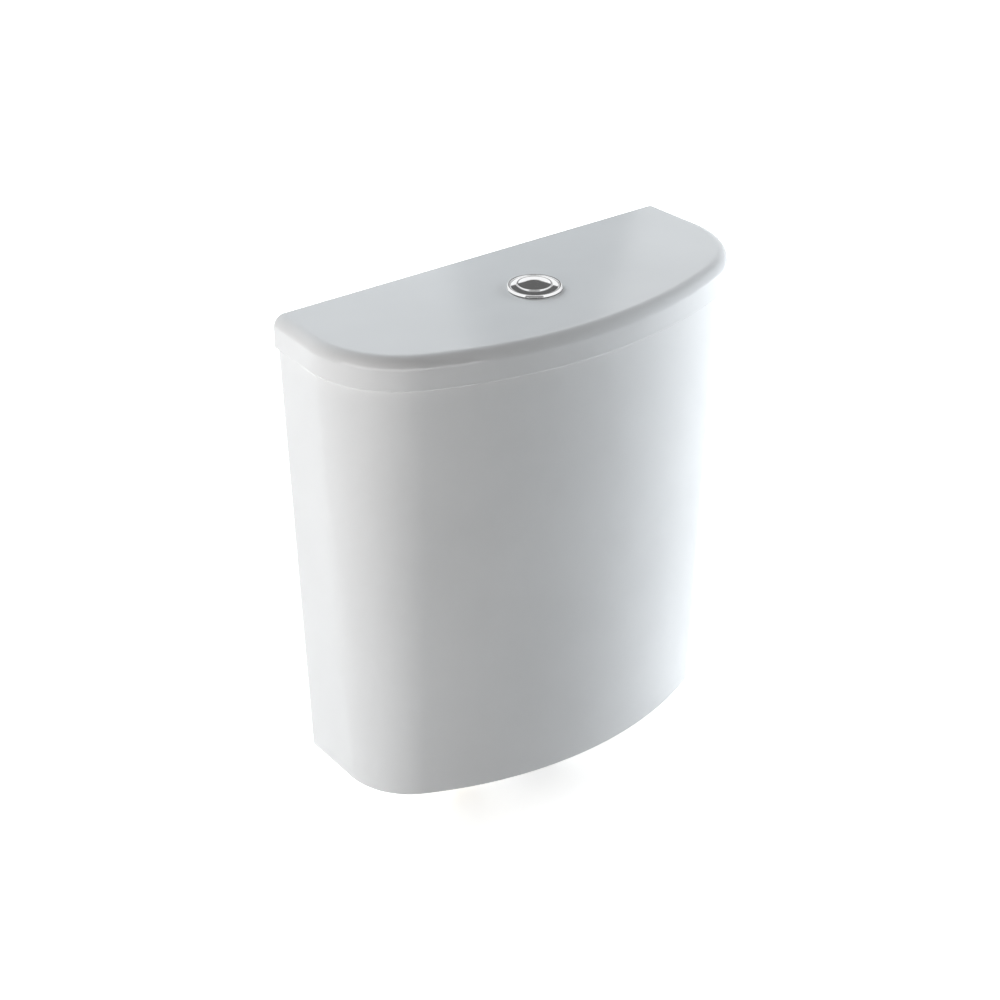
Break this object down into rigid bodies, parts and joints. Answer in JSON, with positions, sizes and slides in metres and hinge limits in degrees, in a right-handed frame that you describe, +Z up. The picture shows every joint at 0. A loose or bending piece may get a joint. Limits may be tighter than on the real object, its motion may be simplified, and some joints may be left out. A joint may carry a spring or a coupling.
{
  "type": "toilet cistern",
  "caption": "Close-coupled toilet cistern in glazed ceramic with a bowed front, lift-off lid, dual push button, flush valve, fill valve and pan fixings.",
  "frame": {"origin": "on the flush outlet's axis, in the plane where the coupling washer rests on the pan", "axes": "+Z up, +Y towards the wall, +X to the right for someone facing the front"},
  "size_m": [0.3858, 0.1638, 0.4443],
  "materials": {
    "white_glaze": "gloss",
    "chrome_plate": "polished",
    "white_plastic": "satin",
    "grey_plastic": "satin",
    "blue_plastic": "satin",
    "black_rubber": "matte",
    "seal_silicone": "matte",
    "stainless_steel": "satin",
    "wing_brass": "satin"
  },
  "bodies": {
    "cistern": {"tank": "white_glaze", "flush_valve_base": "white_plastic", "base_washer": "black_rubber", "flush_backnut": "grey_plastic", "coupling_washer": "black_rubber", "valve_tower": "white_plastic", "tower_head": "white_plastic", "lever_pins": "stainless_steel", "coupling_bolts": "stainless_steel", "bolt_seals": "black_rubber", "bolt_inner_washers": "stainless_steel", "bolt_outer_washers": "stainless_steel", "bolt_tank_nuts": "stainless_steel", "pan_washers": "black_rubber", "pan_steel_washers": "stainless_steel", "wing_nuts": "wing_brass", "fill_valve_shank": "white_plastic", "tail_washer": "black_rubber", "tail_backnut": "grey_plastic", "inlet_filter": "grey_plastic", "fill_valve_head": "white_plastic", "fill_valve_diaphragm": "seal_silicone", "fill_valve_cap": "grey_plastic", "silencer_tube": "white_plastic", "float_arm_pin": "stainless_steel"},
    "lid": {"lid": "white_glaze", "button_bezel": "chrome_plate", "bezel_gasket": "black_rubber", "button_locknut": "grey_plastic", "button_guide": "white_plastic", "full_flush_spring": "stainless_steel", "half_flush_spring": "stainless_steel"},
    "full_button": {"full_flush_button": "chrome_plate", "full_flush_rod": "white_plastic", "full_rod_locknut": "grey_plastic"},
    "half_button": {"half_flush_button": "chrome_plate", "half_flush_rod": "white_plastic", "half_rod_locknut": "grey_plastic"},
    "full_lever": {"full_flush_lever": "grey_plastic"},
    "half_lever": {"half_flush_lever": "blue_plastic"},
    "carriage": {"half_flush_carriage": "blue_plastic", "half_flush_float": "blue_plastic"},
    "flush_tube": {"overflow_tube": "white_plastic", "valve_seal": "seal_silicone", "seal_retainer": "grey_plastic", "full_flush_float": "grey_plastic", "lift_collar": "white_plastic"},
    "fill_float": {"float_cup": "white_plastic", "float_link_rod": "stainless_steel", "level_adjuster": "grey_plastic"},
    "float_arm": {"float_arm": "grey_plastic", "pilot_seal": "seal_silicone"}
  },
  "joints": [
    {"name": "lid_lift", "type": "slide", "parent": "cistern", "child": "lid", "axis": [0, 0, 1], "range_m": [0, 0.15]},
    {"name": "full_flush_press", "type": "slide", "parent": "lid", "child": "full_button", "axis": [0, 0, -1], "range_m": [0, 0.008], "stiffness_N_per_m": 400, "springref_m": -0.006, "deforming": ["full_flush_spring"]},
    {"name": "half_flush_press", "type": "slide", "parent": "lid", "child": "half_button", "axis": [0, 0, -1], "range_m": [0, 0.008], "stiffness_N_per_m": 400, "springref_m": -0.006, "deforming": ["half_flush_spring"]},
    {"name": "full_lever_swing", "type": "hinge", "parent": "cistern", "child": "full_lever", "pos_m": [-0.02016, -0.02675, 0.336], "axis": [-0.7986, 0.6018, 0], "range_deg": [0, 22.93]},
    {"name": "half_lever_swing", "type": "hinge", "parent": "cistern", "child": "half_lever", "pos_m": [0.02016, 0.02675, 0.336], "axis": [0.7986, -0.6018, 0], "range_deg": [0, 22.93]},
    {"name": "carriage_lift", "type": "slide", "parent": "cistern", "child": "carriage", "axis": [0, 0, 1], "range_m": [0, 0.0104]},
    {"name": "tube_lift", "type": "slide", "parent": "carriage", "child": "flush_tube", "axis": [0, 0, 1], "range_m": [0, 0.0104]},
    {"name": "float_rise", "type": "slide", "parent": "cistern", "child": "fill_float", "axis": [0, 0, 1], "range_m": [0, 0.008]},
    {"name": "float_arm_swing", "type": "hinge", "parent": "cistern", "child": "float_arm", "pos_m": [0.117, 0.025, 0.301], "axis": [0, -1, 0], "range_deg": [0, 17.64]}
  ],
  "couplings": [
    {"joint": "full_lever_swing", "follows": "full_flush_press", "rad_per_m": 50},
    {"joint": "tube_lift", "follows": "full_flush_press", "ratio": 1.3},
    {"joint": "half_lever_swing", "follows": "half_flush_press", "rad_per_m": 50},
    {"joint": "carriage_lift", "follows": "half_flush_press", "ratio": 1.3},
    {"joint": "float_arm_swing", "follows": "float_rise", "rad_per_m": 38.462}
  ]
}
